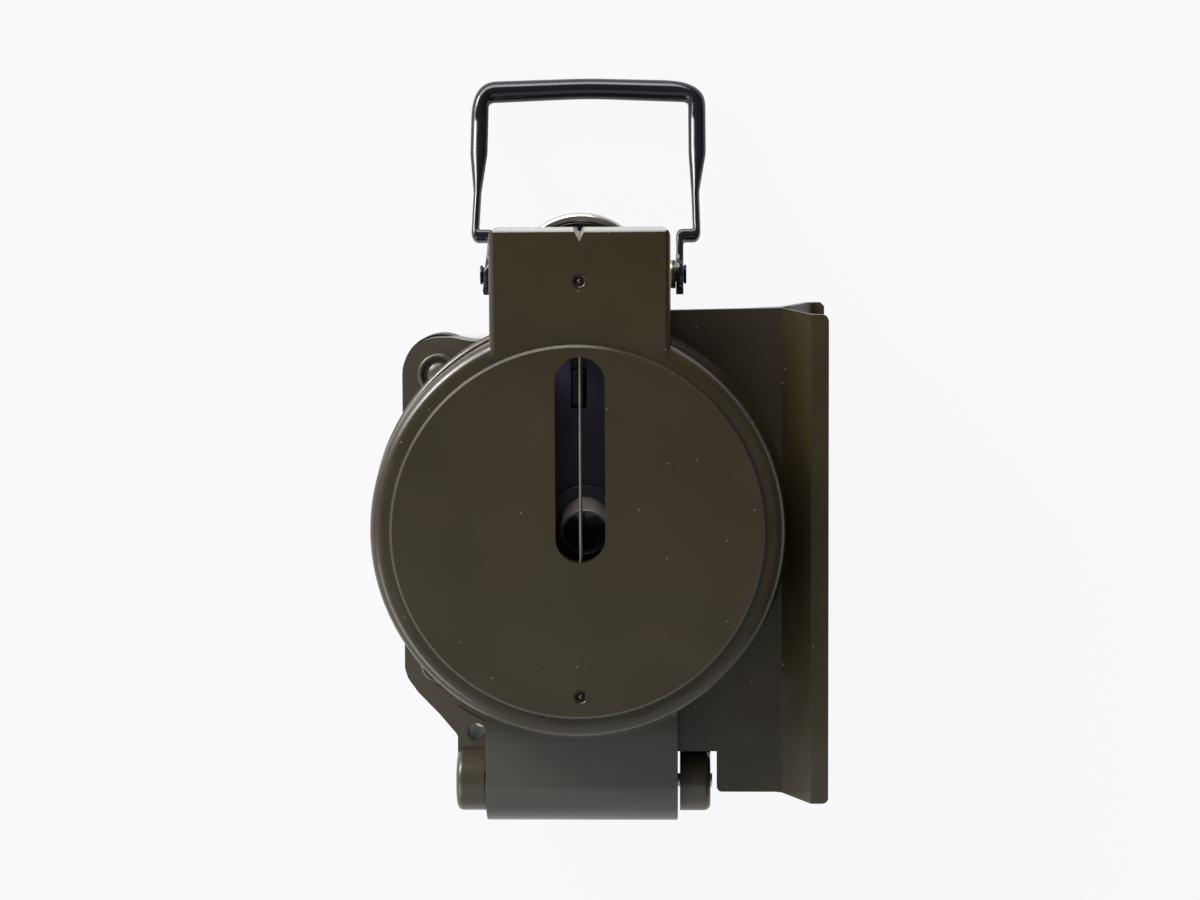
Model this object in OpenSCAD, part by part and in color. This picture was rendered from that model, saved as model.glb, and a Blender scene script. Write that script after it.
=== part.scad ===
// Folding lensatic compass of the military pattern, closed, thumb loop lowered.
// The origin lies on the dial axis in the plane of the underside.
// +X is the side of the ruler edges, +Y the end of the thumb loop, +Z up.

/* [Levels] */
// Thickness of the black bottom cover
bottom_t = 2; // [1.4:0.1:2.6]
// Height of the base casting above the bottom cover
base_h = 11.7; // [11.2:0.1:13]
// Gap between the base and the closed cover
split_gap = 0.6; // [0.4:0.1:1]
// Height of the cover from its lower edge to its shoulder
cover_h = 12.9; // [12.4:0.1:14.5]
// Rise of the round face above the shoulder
face_rise = 0.8; // [0.3:0.1:1.5]

/* [Cover] */
// Outer radius of the round cover
cover_r = 27.2; // [27:0.1:27.6]
// Thickness of the round wall
cover_wall = 1.6; // [1.2:0.1:1.8]
// Thickness of the roof at the shoulder
roof_t = 1.9; // [1.4:0.1:2.2]
// Width of the ring-shaped shoulder round the raised face
shoulder_w = 2.7; // [2.2:0.1:4]
// Rounding of the shoulder
shoulder_round = 1.7; // [0.8:0.1:2]
// How far the bead at the lower edge stands proud of the wall
bead_out = 0.8; // [0.4:0.1:1]
// Height of the bead
bead_h = 1.5; // [1:0.1:2.2]
// Sideways offset of the round cup and its hinge from the sighting line
cup_shift = -0.45; // [-0.5:0.05:0]
// Width of the rear tab
tab_w = 23.6; // [22.8:0.1:24]
// Distance of the rear tab's end from the dial axis
tab_y = 39.7; // [38.8:0.1:40.4]
// Thickness of the rear tab
tab_t = 2.6; // [1.8:0.1:3]
// Corner radius of the rear tab
tab_corner = 1.3; // [0.6:0.1:2]
// Rounding along the tab's upper edges
tab_round = 0.8; // [0.3:0.1:1.2]
// Width of the sighting notch in the tab's end
notch_w = 1.9; // [1:0.1:3]
// Depth of the sighting notch
notch_d = 1.7; // [0.8:0.1:2.4]
// Slope of the notch's floor, in degrees from upright
notch_lean = 22; // [0:1:30]
// Width of the sighting slot
slot_w = 6.5; // [5:0.1:7.5]
// Width of the face left between its edge and the slot's rear end
slot_margin = 1.6; // [1.2:0.1:4]
// Distance of the slot's front end from the dial axis
slot_front = 4; // [2:0.1:6]
// Diameter of the sighting wire
wire_d = 0.45; // [0.3:0.05:0.6]
// Distance of the rear luminous dot from the dial axis
dot_rear = 32.7; // [30:0.1:34]
// Distance of the front luminous dot from the edge of the face
dot_margin = 2.9; // [2:0.1:5]
// Diameter of the dots' dimples
dot_d = 1.9; // [1.4:0.1:2.4]

/* [Cover hinge] */
// Distance of the hinge axis from the dial axis
hinge_y = 35.1; // [34.9:0.1:35.6]
// Radius of the cover's hinge barrel
barrel_r = 5.4; // [5.2:0.1:5.5]
// Half length of the cover's hinge barrel
barrel_half = 12.85; // [12.2:0.05:13]
// Sideways offset of the hinge from the sighting line
hinge_shift = -0.3; // [-0.4:0.05:0]
// Gap beside the barrel at each base knuckle
hinge_side_gap = 0.3; // [0.2:0.05:0.5]
// Radius of the base knuckles
knuckle_r = 4.1; // [3.6:0.1:4.2]
// Rounding of the knuckles' outer rims
knuckle_round = 0.9; // [0.4:0.1:1.2]
// Distance of the hinge arms' outer sides from the dial axis
knuckle_out = 17.1; // [16.8:0.1:17.4]
// Diameter of the hinge pin
pin_d = 1.8; // [1.4:0.1:2.4]
// Thickness of the hinge plate that joins the barrel to the cup
hinge_plate_t = 2.4; // [1.8:0.1:3]
// Width of the sloped ring where the cup meets the hinge plate
cove_w = 1.3; // [0.6:0.1:1.5]

/* [Ruler flanges] */
// Thickness of both flange plates
flange_t = 2.5; // [1.8:0.1:2.8]
// Distance of the bevels' foot from the dial axis
bevel_x = 26.5; // [26.1:0.1:27]
// Distance of the ruler strips' inner edge
strip_x = 30.2; // [29.6:0.1:30.6]
// Distance of the ruler strips' outer edge
strip_out = 32.5; // [32:0.1:34]
// How far the strips stand off the flange plates
strip_rise = 5.7; // [4:0.1:6.4]
// Thickness of the strips
strip_t = 2; // [1.4:0.1:2.2]
// Rear end of the cover's flange
flange_rear = 28.5; // [27:0.1:28.6]
// Front end of the cover's flange
flange_front = 36.2; // [35.4:0.1:36.6]
// Rear end of the base's flange
base_flange_rear = 28.5; // [27:0.1:29]
// Front end of the base's flange
base_flange_front = 33; // [31:0.1:33.1]
// Gap between the right knuckle and the leg of the cover's flange
leg_gap = 0.7; // [0.5:0.1:1.2]

/* [Base] */
// Distance of the four ear screws from the dial axis, sideways
screw_x = 19.7; // [19.4:0.1:20]
// Distance of the four ear screws from the dial axis, lengthways
screw_y = 19.7; // [19.4:0.1:20]
// Corner radius of the ears round the screws
ear_r = 5; // [4:0.1:5.4]
// Height of the ears above the bottom cover
ear_h = 8; // [6:0.1:8.6]
// How far the round wall of the base lies inside the cover's wall
wall_set = 1.6; // [1.2:0.1:2]
// Wall of the collar that the bezel turns on
collar_wall = 1.2; // [1.1:0.05:1.4]
// Height of the collar above the round wall
collar_h = 1.7; // [1.4:0.1:2]
// Thickness of the well's floor
floor_t = 1.6; // [1.2:0.1:2.4]
// Width across the rear lugs
lug_span = 23.2; // [23:0.1:23.4]
// Thickness of each rear lug
lug_t = 1.3; // [1:0.1:1.5]
// Radius of the rear lugs round the rear pin
lug_r = 2.2; // [1.9:0.1:2.4]
// Distance of the lanyard hole from the dial axis, sideways
lanyard_x = 14.7; // [14.7:0.1:14.9]
// Distance of the lanyard hole from the dial axis, lengthways
lanyard_y = 28.7; // [28:0.1:28.7]
// Diameter of the lanyard hole
lanyard_d = 2.5; // [2:0.1:2.5]
// Radius of the bottom cover's round corner posts
lobe_r = 5.3; // [4.4:0.1:5.5]
// Height of the corner posts, which reach up into the ears
lobe_h = 5.5; // [3:0.1:5.8]
// Diameter of the ear screws
screw_d = 2.5; // [2:0.1:3]
// Diameter of the ear screws' heads
screw_head_d = 4.4; // [3.6:0.1:5]

/* [Capsule and bezel] */
// Radial gap between capsule and well
capsule_gap = 0.1; // [0.05:0.05:0.2]
// Wall of the capsule
capsule_wall = 1.3; // [0.9:0.1:1.8]
// Thickness of the capsule's window
window_t = 1.2; // [0.8:0.1:1.6]
// Running clearance of the bezel on the collar
bezel_gap = 0.05; // [0.03:0.01:0.08]
// Room between the bezel and the inside of the cover
bezel_room = 1; // [0.8:0.1:1.3]
// Thickness of the bezel's skirt
bezel_skirt = 1.65; // [1.5:0.05:1.8]
// Height of the bezel
bezel_h = 3.3; // [2.9:0.1:3.4]
// Number of grips round the bezel
grip_n = 60; // [24:4:72]
// Thickness of the bezel's crystal
crystal_t = 1; // [0.6:0.1:1.2]
// Room between the compass card and the capsule's well
card_room = 3.1; // [2.2:0.1:5]
// Thickness of the compass card
card_t = 0.6; // [0.4:0.1:1]

/* [Eyepiece] */
// Distance of the rear pin from the dial axis
rear_pin_y = 33.2; // [32.8:0.1:33.6]
// Height of the rear pin above the bottom cover
rear_pin_h = 10; // [9.6:0.1:10.4]
// Diameter of the rear pin
rear_pin_d = 2; // [1.6:0.1:2.2]
// Gap between the bezel and the folded bracket
bracket_gap = 0.45; // [0.3:0.05:0.8]
// Thickness of the bracket's plate
bracket_t = 1; // [0.8:0.1:1.4]
// Half width of the bracket's plate
bracket_half = 6.2; // [5.4:0.1:7]
// Width of the sighting slit
slit_w = 2.1; // [1:0.1:2.4]
// Front end of the sighting slit
slit_front = 15.7; // [14:0.1:16.4]
// Length of the sighting slit
slit_len = 6.9; // [4:0.1:6.9]
// Outer radius of the magnifier's ring
ring_r = 9.3; // [9:0.1:9.5]
// Height of the magnifier's ring
ring_h = 4.4; // [3:0.1:4.8]
// Wall of the magnifier's ring
ring_wall = 1.4; // [1:0.1:2]
// Distance of the magnifier from the dial axis
ring_y = 32.2; // [31.8:0.05:32.4]
// Radius of the small sight lens's flange
eyelet_r = 4.9; // [4.4:0.1:5.4]
// Outer radius of the small sight lens's barrel
barrel_out = 3.25; // [2.9:0.05:3.5]
// Sideways offset of the small lens from the sighting line
barrel_shift = 0.45; // [0:0.05:0.5]
// Sideways offset of the slit from the sighting line
slit_shift = -0.45; // [-0.5:0.05:0]
// Distance of the small lens from the dial axis, lengthways
eyelet_y = 0.5; // [0:0.1:1]
// Wall of the small barrel
barrel_wall = 0.35; // [0.3:0.05:0.6]
// Lean of the small barrel towards the cover hinge, in degrees
barrel_lean = 16; // [8:1:24]

/* [Thumb loop] */
// Length of the loop from its pivot to the middle of its bar
loop_len = 27.1; // [26:0.1:27.4]
// Angle by which the loop lies below level, in degrees
loop_drop = 22; // [21:0.1:22.2]
// Thickness of the loop's feet
foot_t = 1; // [0.8:0.1:1.2]
// Inner half width between the loop's arms
arm_half = 14.5; // [14:0.1:14.6]
// Width of the arms near the feet, seen from above
arm_w = 0.9; // [0.8:0.1:1.2]
// Width of the arms near the bar, seen from above
arm_wide = 2.3; // [1.6:0.1:2.6]
// How far the arms flare out towards the bar
bar_flare = 0.6; // [0.2:0.1:0.8]
// Distance of the arms' jog from the pivot
rear_jog = 5.7; // [5.2:0.1:6.2]
// Width of the bar
bar_w = 2.9; // [2.4:0.1:3]
// Outward bow of the bar
bar_bow = 0.8; // [0.4:0.1:1.2]
// Outer radius of the loop's far corners
loop_corner = 4; // [2.6:0.1:5]
// Sideways set of the loop beyond the jog
loop_set = 0.3; // [0:0.05:0.4]
// Depth of the strip that the loop is bent from
strip_depth = 2.8; // [2.4:0.1:3]
// Thickness of the brass washers
washer_t = 0.8; // [0.5:0.1:0.8]

/* [Hidden] */
$fn = 96;
EPS = 0.01;
base_top = bottom_t + base_h;
cover_z = base_top + split_gap;
hinge_z = base_top + split_gap / 2;
shoulder_z = cover_z + cover_h;
face_z = shoulder_z + face_rise;
roof_z = shoulder_z - roof_t;
tab_z = shoulder_z - tab_t;
cup_r = cover_r - cover_wall;
face_r = cover_r - shoulder_w;
slot_rear = face_r - slot_margin;
dot_front = face_r - dot_margin;
wall_r = cover_r - wall_set;
bezel_r = cup_r - bezel_room;
bezel_in = bezel_r - bezel_skirt;
collar_r = bezel_in - bezel_gap;
well_r = collar_r - collar_wall;
card_r = well_r - card_room;
pin_fit = 0.05;
press_fit = 0.02;
knuckle_in = barrel_half + hinge_side_gap;
leg_x = knuckle_out + leg_gap;
ear_top = bottom_t + ear_h;
ear_x = screw_x + ear_r;
ear_y = screw_y + ear_r;
arm_clear = barrel_r + 0.3;
relief_r = 30.4;
lug_out = lug_span / 2;
lug_in = lug_out - lug_t;
rear_pin_z = bottom_t + rear_pin_h;
well_z = bottom_t + floor_t;
collar_top = base_top + collar_h;
capsule_r = well_r - capsule_gap;
capsule_top = collar_top - 0.2;
window_r = capsule_r - 0.5;
window_z = capsule_top - window_t;
chamber_r = capsule_r - capsule_wall;
capsule_floor = 1.2;
bezel_z = base_top + 0.15;
bezel_top = bezel_z + bezel_h;
bezel_lip_t = 0.7;
crystal_r = bezel_in - 0.1;
crystal_z = bezel_top - bezel_lip_t - crystal_t;
snap_r = (collar_r + bezel_in) / 2;
snap_z = base_top + 0.8;
snap_d = 0.5;
card_z = window_z - 2.6;
hub_r = 2.2;
hub_h = 1.6;
magnet_w = 4;
magnet_len = 24;
spring_y = collar_r + 0.5;
spring_len = 8;
magnet_t = 1.3;
line_w = 1.2;
line_len = 11;
line_t = 0.15;
line_from = well_r - 1.7 - line_len;
screw_sink = 0.25;
screw_head_t = 1.05;
screw_grip = ear_top - 0.9 - screw_sink - screw_head_t;
washer_r = 1.9;
plate_z = bezel_top + bracket_gap;
ring_z = plate_z + bracket_t;
ring_in = ring_r - ring_wall;
bracket_ear_t = 1.2;
bracket_ear_r = 2.3;
ear_in = lug_in - 0.3 - bracket_ear_t;
ear_out = ear_in + bracket_ear_t;
foot_in = lug_out + washer_t + 0.05;
foot_out = foot_in + foot_t;
head_h = 0.35;
head_r = 1.3;
wire_z = roof_z + 1.2;
wire_anchor = 1.6;

// General outlines

// Rectangle with rounded corners
module rounded_rect(x0, y0, x1, y1, r) {
  translate([x0 + r, y0]) square([x1 - x0 - 2 * r, y1 - y0]);
  translate([x0, y0 + r]) square([x1 - x0, y1 - y0 - 2 * r]);
  for (x = [x0 + r, x1 - r], y = [y0 + r, y1 - r]) translate([x, y]) circle(r);
}

// Cylinder along X between two places
module x_rod(x0, x1, r) {
  translate([x0, 0, 0]) rotate([0, 90, 0]) cylinder(h = x1 - x0, r = r);
}

// Cylinder along X with its far rim rounded
module x_drum(x0, x1, r, rim) {
  len = x1 - x0;
  translate([x0, 0, 0]) rotate([0, 90, 0]) rotate_extrude() {
    polygon([[0, 0], [r, 0], [r, len - rim], [r - rim, len - rim], [r - rim, len], [0, len]]);
    translate([r - rim, len - rim]) circle(rim);
  }
}

// Side outline, drawn as (y, z), pushed along X
module x_extrude(x0, x1) {
  translate([x0, 0, 0]) rotate([90, 0, 90]) linear_extrude(x1 - x0) children();
}

// Section outline, drawn as (x, z), pushed along Y
module y_extrude(y0, y1) {
  translate([0, y1, 0]) rotate([90, 0, 0]) linear_extrude(y1 - y0) children();
}

// Section of a ruler flange above the hinge plane: plate, bevel and strip
module flange_section(x_in) {
  g = split_gap / 2;
  polygon([
    [x_in, g],
    [bevel_x + flange_t * 0.45, g],
    [strip_x + strip_t * 0.45, g + flange_t + strip_rise - strip_t],
    [strip_out, g + flange_t + strip_rise - strip_t],
    [strip_out, g + flange_t + strip_rise],
    [strip_x, g + flange_t + strip_rise],
    [bevel_x, g + flange_t],
    [x_in, g + flange_t]
  ]);
}

// Ruler flange above the hinge plane, its ends cut to their plan
module ruler_flange(x_in, front, rear, front_step, rear_step) {
  intersection() {
    y_extrude(-front - 2, rear + 2) flange_section(x_in);
    linear_extrude(20) polygon([
      [x_in - 1, -front], [bevel_x - 0.8, -front],
      [strip_x, -front - front_step], [strip_out - 0.5, -front - front_step],
      [strip_out + 0.5, -front - front_step + 0.8], [strip_out + 0.5, rear + rear_step - 1],
      [strip_out - 0.5, rear + rear_step], [strip_x, rear + rear_step],
      [bevel_x, rear + 0.3], [x_in - 1, rear]
    ]);
  }
}

// Base

// Plan of the four ears and of the web that runs to the hinge arms
module ear_outline() {
  web_y = hinge_y - arm_clear;
  side = ear_y - ear_r;
  rounded_rect(-ear_x, -ear_y, ear_x, ear_y, ear_r);
  polygon([
    [-ear_x, -side - 0.8], [-ear_x + 0.4, -side - 2.1], [-ear_x + 1.8, -side - 4.1],
    [-ear_x + 4.7, -side - 7.1], [-knuckle_out - 0.7, -side - 9.7], [-knuckle_out + 0.1, -web_y - 1.4],
    [-knuckle_in - 0.5, -web_y - 1.4], [-knuckle_in - 0.5, -web_y], [knuckle_in + 0.5, -web_y],
    [knuckle_in + 0.5, -web_y - 1.4], [knuckle_out - 0.1, -web_y - 1.4], [knuckle_out + 0.7, -side - 9.7],
    [ear_x - 4.7, -side - 7.1], [ear_x - 1.8, -side - 4.1], [ear_x - 0.4, -side - 2.1],
    [ear_x, -side - 0.8], [ear_x, 0], [-ear_x, 0]
  ]);
}

// One hinge arm with its knuckle, on the +X side, between its inner and outer sides
module hinge_arm(inner, outer) {
  arm_in = lanyard_x - lanyard_d / 2 - 1.2;
  difference() {
    union() {
      translate([0, -hinge_y, hinge_z]) x_drum(inner, outer, knuckle_r, knuckle_round);
      x_extrude(inner, outer) polygon([
        [-hinge_y, hinge_z - knuckle_r + 0.02], [-hinge_y + arm_clear, bottom_t + 3],
        [-screw_y, bottom_t + 3], [-screw_y, base_top], [-hinge_y, base_top]
      ]);
      translate([arm_in, -hinge_y + arm_clear + 0.1, bottom_t])
        cube([outer - arm_in, hinge_y - arm_clear - screw_y, base_h]);
    }
    translate([0, -hinge_y, hinge_z]) x_rod(0, outer + 1, pin_d / 2 + press_fit);
  }
}

// Side outline of a rear lug
module lug_outline() {
  translate([rear_pin_y, rear_pin_z]) circle(lug_r);
  translate([collar_r, bottom_t]) square([rear_pin_y + lug_r - collar_r, rear_pin_h]);
}

module rear_extension() {
  difference() {
    x_extrude(-lug_out, lug_out) lug_outline();
    translate([-lug_in, wall_r - 0.4, bottom_t + 2.2]) cube([2 * lug_in, 12, base_h]);
    translate([0, rear_pin_y, rear_pin_z]) x_rod(-lug_out - 1, lug_out + 1, rear_pin_d / 2 + press_fit);
  }
}

// Screw boss on top of an ear: a round-topped ring with a domed plug in it
module ear_boss() {
  translate([0, 0, -0.2]) cylinder(h = 0.5, r = 2.9);
  rotate_extrude() {
    translate([2.5, 0.4]) circle(0.4);
    translate([2.1, 0]) square([0.8, 0.4]);
  }
  rotate_extrude() intersection() {
    translate([0, -1.7]) circle(2.6);
    translate([0, 0.1]) square([1.9, 2]);
  }
}

// Ears with a shallow set-back of their rear edge between the two rear screws
module ears() {
  difference() {
    translate([0, 0, bottom_t]) linear_extrude(ear_h) ear_outline();
    linear_extrude(ear_top + 1) polygon([
      [screw_x - 1.2, ear_y + 0.1], [screw_x - 3.4, ear_y - 0.35], [screw_x - 4.3, ear_y - 0.5],
      [-screw_x + 4.3, ear_y - 0.5], [-screw_x + 3.4, ear_y - 0.35], [-screw_x + 1.2, ear_y + 0.1]
    ]);
  }
}

// Corner post of the bottom cover under one ear, kept clear of the round wall
module corner_post(sx, sy, grow) {
  difference() {
    translate([sx * screw_x, sy * screw_y, 0]) cylinder(h = lobe_h + grow, r = lobe_r + grow);
    translate([0, 0, bottom_t - 0.5]) cylinder(h = lobe_h, r = wall_r - 0.6 - grow);
  }
}

module base_body() {
  color([0.25, 0.24, 0.17]) difference() {
    union() {
      ears();
      translate([0, 0, bottom_t]) cylinder(h = base_h, r = wall_r);
      translate([0, 0, base_top - 1]) cylinder(h = collar_h + 1, r = collar_r);
      for (s = [-1, 1]) for (t = [-1, 1]) translate([s * screw_x, t * screw_y, ear_top]) ear_boss();
      hinge_arm(knuckle_in + hinge_shift, knuckle_out + hinge_shift / 2);
      mirror([1, 0, 0]) hinge_arm(knuckle_in - hinge_shift, knuckle_out - hinge_shift / 2);
      rear_extension();
      translate([0, 0, hinge_z]) mirror([0, 0, 1])
        ruler_flange(screw_x, base_flange_front, base_flange_rear, 0, 0.7);
    }
    translate([0, 0, well_z]) cylinder(h = base_h + collar_h + 1, r = well_r);
    // Lanyard hole down through the left hinge arm
    translate([-lanyard_x, -lanyard_y, 0]) cylinder(h = base_top + 1, d = lanyard_d);
    // Seats of the bottom cover's posts and threaded holes of the ear screws
    for (s = [-1, 1]) for (t = [-1, 1]) {
      corner_post(s, t, 0.02);
      translate([s * screw_x, t * screw_y, bottom_t - 1])
        cylinder(h = ear_top - 0.7 - bottom_t + 1, d = screw_d + 2 * press_fit);
    }
    // Groove of the snap ring in the collar
    translate([0, 0, snap_z]) rotate_extrude() translate([snap_r, 0]) circle(snap_d / 2 + 0.05, $fn = 24);
    // Pocket of the click spring under the bezel
    rotate(-135) translate([-spring_len / 2 - 0.1, spring_y - 0.1, base_top - 0.9])
      cube([spring_len + 0.2, 1.2, 2]);
    // Socket of the index mark in the rim
    translate([-0.6, -wall_r - 1, base_top - 0.4]) cube([1.2, 2.4, 1]);
    // Room round the cover's hinge barrel
    translate([hinge_shift, -hinge_y, hinge_z]) x_rod(-knuckle_in, knuckle_in, arm_clear);
    // Turned relief on the tops of the hinge arms
    translate([0, 0, base_top - 0.35]) rotate_extrude() translate([wall_r + 0.6, 0])
      square([relief_r - wall_r - 0.6, 1]);
  }
}

// Plan of the bottom cover: a round pan with four lobes under the ears
module bottom_outline() {
  reach = sqrt(screw_x * screw_x + screw_y * screw_y);
  turn = atan2(screw_y, screw_x);
  circle(wall_r - 2.6);
  for (a = [turn, 180 - turn, 180 + turn, -turn]) rotate(a) {
    translate([reach, 0]) circle(lobe_r - 0.3);
    translate([reach / 2, -lobe_r * 0.8]) square([reach / 2, lobe_r * 1.6]);
  }
}

module bottom_cover() {
  color([0.06, 0.06, 0.06]) difference() {
    union() {
      linear_extrude(bottom_t) bottom_outline();
      for (s = [-1, 1]) for (t = [-1, 1]) corner_post(s, t, 0);
    }
    for (s = [-1, 1]) for (t = [-1, 1]) translate([s * screw_x, t * screw_y, -1]) {
      cylinder(h = lobe_h + 2, d = screw_d + 0.2);
      cylinder(h = 2.3, d = screw_head_d + 0.2);
    }
  }
}

module bottom_screws() {
  color([0.5, 0.5, 0.5]) for (s = [-1, 1]) for (t = [-1, 1])
  translate([s * screw_x, t * screw_y, 0]) difference() {
    union() {
      translate([0, 0, screw_sink]) cylinder(h = screw_head_t, d = screw_head_d);
      translate([0, 0, screw_sink + screw_head_t]) cylinder(h = screw_grip, d = screw_d);
    }
    for (a = [0, 90]) rotate(a) translate([-1.3, -0.2, -0.5]) cube([2.6, 0.4, 1.3]);
  }
}

// Capsule

module capsule_cup() {
  color([0.08, 0.08, 0.09]) difference() {
    translate([0, 0, well_z]) cylinder(h = capsule_top - well_z, r = capsule_r);
    translate([0, 0, well_z + capsule_floor]) cylinder(h = base_h * 2, r = chamber_r);
    translate([0, 0, window_z]) cylinder(h = base_h, r = window_r + 0.05);
    // Seat of the seal under the window
    translate([0, 0, window_z - 0.7]) cylinder(h = 1, r = chamber_r + 0.6);
  }
}

module capsule_window() {
  color([0.75, 0.82, 0.85, 0.35]) translate([0, 0, window_z]) cylinder(h = window_t, r = window_r);
}

module capsule_seal() {
  color([0.1, 0.1, 0.1]) translate([0, 0, window_z - 0.35])
    rotate_extrude() translate([chamber_r + 0.25, 0]) circle(0.33, $fn = 24);
}

module pivot_post() {
  color([0.7, 0.7, 0.72]) translate([0, 0, well_z + capsule_floor]) {
    cylinder(h = 1, r = 2);
    cylinder(h = card_z - well_z - capsule_floor - 1, r = 0.6);
    translate([0, 0, card_z - well_z - capsule_floor - 1]) cylinder(h = 0.9, r1 = 0.6, r2 = 0.1);
  }
}

module compass_card() {
  color([0.07, 0.07, 0.07]) translate([0, 0, card_z]) rotate_extrude() polygon([
    [hub_r, 0], [card_r, 0], [card_r, card_t], [hub_r, card_t]
  ]);
}

module card_magnet() {
  color([0.35, 0.35, 0.38]) translate([0, 0, card_z - magnet_t]) difference() {
    translate([-magnet_w / 2, -magnet_len / 2, 0]) cube([magnet_w, magnet_len, magnet_t]);
    translate([0, 0, -magnet_t]) cylinder(h = 3 * magnet_t, r = hub_r + press_fit);
  }
}

module card_jewel() {
  color([0.75, 0.6, 0.3]) translate([0, 0, card_z - hub_h + card_t + 0.3]) difference() {
    cylinder(h = hub_h, r = hub_r);
    translate([0, 0, -1]) cylinder(h = hub_h, r1 = 1.6, r2 = 0.8);
  }
}

// Bezel

// Section of the bezel: skirt on the collar and a lip over the crystal
module bezel_section() {
  polygon([
    [bezel_in, 0], [bezel_r, 0], [bezel_r, bezel_h - 0.9], [bezel_r - 0.9, bezel_h],
    [bezel_in - 1.9, bezel_h], [bezel_in - 2.3, bezel_h - bezel_lip_t], [bezel_in, bezel_h - bezel_lip_t]
  ]);
}

module bezel_ring() {
  color([0.09, 0.09, 0.09]) translate([0, 0, bezel_z]) difference() {
    rotate_extrude() bezel_section();
    for (i = [0 : grip_n - 1]) rotate(i * 360 / grip_n)
      translate([bezel_r + 0.25, 0, -1]) cylinder(h = bezel_h + 2, r = 0.6, $fn = 16);
    translate([0, 0, snap_z - bezel_z]) rotate_extrude()
      translate([snap_r, 0]) circle(snap_d / 2 + 0.05, $fn = 24);
  }
}

module bezel_crystal() {
  color([0.8, 0.86, 0.88, 0.3]) translate([0, 0, crystal_z]) cylinder(h = crystal_t, r = crystal_r);
}

module marching_line() {
  color([0.75, 0.85, 0.6]) translate([-line_w / 2, line_from, crystal_z - line_t])
    cube([line_w, line_len, line_t]);
}

module bezel_snap_ring() {
  color([0.7, 0.7, 0.7]) translate([0, 0, snap_z])
    rotate_extrude() translate([snap_r, 0]) circle(snap_d / 2, $fn = 24);
}

module click_spring() {
  color([0.75, 0.6, 0.3]) rotate(-135) translate([-spring_len / 2, spring_y, base_top - 0.9]) difference() {
    union() {
      cube([spring_len, 1, 0.4]);
      translate([spring_len / 2 - 1, 0, 0]) cube([2, 1, 0.95]);
    }
    translate([-1, -1, -0.1]) cube([1, 3, 1]);
  }
}

module index_mark() {
  color([0.85, 0.85, 0.8]) translate([-0.55, -wall_r + 0.1, base_top - 0.4]) cube([1.1, 1.2, 0.35]);
}

// Cover

// Half section of the cup's outside, with its bead, shoulder and raised face
module cup_section() {
  step = 0.35;
  square([cover_r - shoulder_round, cover_h]);
  square([cover_r, cover_h - shoulder_round]);
  translate([cover_r - shoulder_round, cover_h - shoulder_round]) circle(shoulder_round);
  square([cover_r + bead_out, bead_h - bead_out]);
  translate([0, bead_h - bead_out]) intersection() {
    translate([cover_r, 0]) circle(bead_out, $fn = 24);
    square([cover_r + 1, 1]);
  }
  polygon([
    [0, 0], [face_r, 0], [face_r, cover_h + face_rise - step],
    [face_r - step, cover_h + face_rise], [0, cover_h + face_rise]
  ]);
}

// Rear tab with rounded corners and rounded upper edges
module rear_tab() {
  half = tab_w / 2;
  intersection() {
    translate([0, 0, tab_z]) linear_extrude(tab_t) rounded_rect(-half, 0, half, tab_y, tab_corner);
    x_extrude(-half, half) {
      translate([0, tab_z]) square([tab_y - tab_round, tab_t]);
      translate([0, tab_z]) square([tab_y, tab_t - tab_round]);
      translate([tab_y - tab_round, shoulder_z - tab_round]) circle(tab_round);
    }
    y_extrude(0, tab_y) {
      translate([-half, tab_z]) square([tab_w, tab_t - tab_round]);
      translate([-half + tab_round, tab_z]) square([tab_w - 2 * tab_round, tab_t]);
      for (s = [-1, 1]) translate([s * (half - tab_round), shoulder_z - tab_round]) circle(tab_round);
    }
  }
}

// Hinge plate that runs from the cup and curls over the hinge pin
module hinge_plate() {
  front = hinge_y + barrel_r + 0.02;
  intersection() {
    translate([hinge_shift, 0, hinge_z]) x_extrude(-barrel_half, barrel_half) {
      translate([-hinge_y, 0]) circle(barrel_r);
      translate([-hinge_y, barrel_r - hinge_plate_t]) square([hinge_y - cup_r + 1.2, hinge_plate_t]);
      polygon([
        [-hinge_y, split_gap / 2], [-cup_r + 3, split_gap / 2],
        [-cup_r + 3, barrel_r - 0.5], [-hinge_y, barrel_r - 0.5]
      ]);
    }
    translate([hinge_shift, 0, 0]) linear_extrude(40)
      rounded_rect(-barrel_half - 0.01, -front, barrel_half + 0.01, 5, 0.7);
  }
}

// Sloped ring round the foot of the cup, on a plate at height z, within a box
module cup_cove(z, w, x0, x1, y0, y1) {
  intersection() {
    translate([cup_shift, 0, z]) rotate_extrude()
      polygon([[cover_r - 0.8, -0.5], [cover_r + w, -0.5], [cover_r + w, 0], [cover_r, w]]);
    translate([x0, y0, z - 1]) cube([x1 - x0, y1 - y0, 4]);
  }
}

// Ruler flange of the cover, notched round the right-hand knuckle
module cover_flange() {
  difference() {
    translate([0, 0, hinge_z]) ruler_flange(tab_w / 2 - 1, flange_front, flange_rear, 0.5, -0.4);
    translate([barrel_half - 5, -60, 0]) cube([leg_x - barrel_half + 5, 60 - hinge_y + knuckle_r + 0.3, 60]);
  }
}

module slot_plan(grow) {
  r = slot_w / 2 + grow;
  translate([0, slot_rear - slot_w / 2]) circle(r);
  translate([0, -slot_front + slot_w / 2]) circle(r);
  translate([-r, -slot_front + slot_w / 2]) square([2 * r, slot_rear + slot_front - slot_w]);
}

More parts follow.
